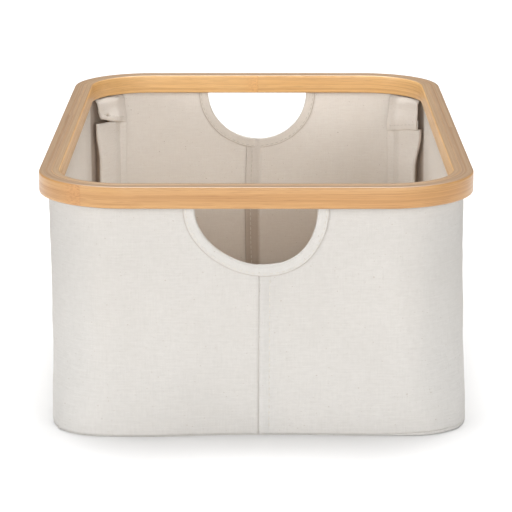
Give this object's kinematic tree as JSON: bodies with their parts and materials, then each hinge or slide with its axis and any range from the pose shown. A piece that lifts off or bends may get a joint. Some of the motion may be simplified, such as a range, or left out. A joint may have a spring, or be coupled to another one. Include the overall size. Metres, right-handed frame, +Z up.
{
  "type": "fabric storage bin",
  "caption": "Open rectangular canvas storage bin hung from a bent bamboo rim, with a bound half-round hand hole at each end and a loose base board.",
  "frame": {"origin": "on the surface the bin stands on, under the middle of its footprint", "axes": "+Z up, +Y along the long sides towards the back end, +X across towards the right-hand side as seen from the front end"},
  "size_m": [0.3, 0.455, 0.175],
  "materials": {
    "bamboo": "satin clear-lacquered bamboo",
    "canvas": "undyed plain-weave canvas",
    "binding": "folded undyed tape, stitched",
    "strut_wood": "sanded bare wood",
    "fibreboard": "pressed fibreboard"
  },
  "bodies": {
    "bin": {"rim_outer_hoop": "bamboo", "rim_core_strip": "bamboo", "rim_inner_hoop": "bamboo", "left_wall_panel": "canvas", "right_wall_panel": "canvas", "bottom_panel": "canvas", "front_hole_binding": "binding", "back_hole_binding": "binding", "sleeve_front_left": "canvas", "sleeve_front_right": "canvas", "sleeve_back_left": "canvas", "sleeve_back_right": "canvas", "strut_front_left": "strut_wood", "strut_front_right": "strut_wood", "strut_back_left": "strut_wood", "strut_back_right": "strut_wood"},
    "board": {"base_board": "fibreboard", "base_board_cover": "canvas"},
    "flap_front_left": {"strut_flap_front_left": "canvas"},
    "flap_front_right": {"strut_flap_front_right": "canvas"},
    "flap_back_left": {"strut_flap_back_left": "canvas"},
    "flap_back_right": {"strut_flap_back_right": "canvas"}
  },
  "joints": [
    {"name": "base_board_lift", "type": "slide", "parent": "bin", "child": "board", "axis": [0, 0, 1], "range_m": [0, 0.2]},
    {"name": "flap_hinge_front_left", "type": "hinge", "parent": "bin", "child": "flap_front_left", "pos_m": [-0.12657, -0.19457, 0.1586], "axis": [0.6018, -0.7986, 0], "range_deg": [0, 50]},
    {"name": "flap_hinge_front_right", "type": "hinge", "parent": "bin", "child": "flap_front_right", "pos_m": [0.12657, -0.19457, 0.1586], "axis": [0.6018, 0.7986, 0], "range_deg": [0, 50]},
    {"name": "flap_hinge_back_left", "type": "hinge", "parent": "bin", "child": "flap_back_left", "pos_m": [-0.12657, 0.19457, 0.1586], "axis": [-0.6018, -0.7986, 0], "range_deg": [0, 50]},
    {"name": "flap_hinge_back_right", "type": "hinge", "parent": "bin", "child": "flap_back_right", "pos_m": [0.12657, 0.19457, 0.1586], "axis": [-0.6018, 0.7986, 0], "range_deg": [0, 50]}
  ]
}
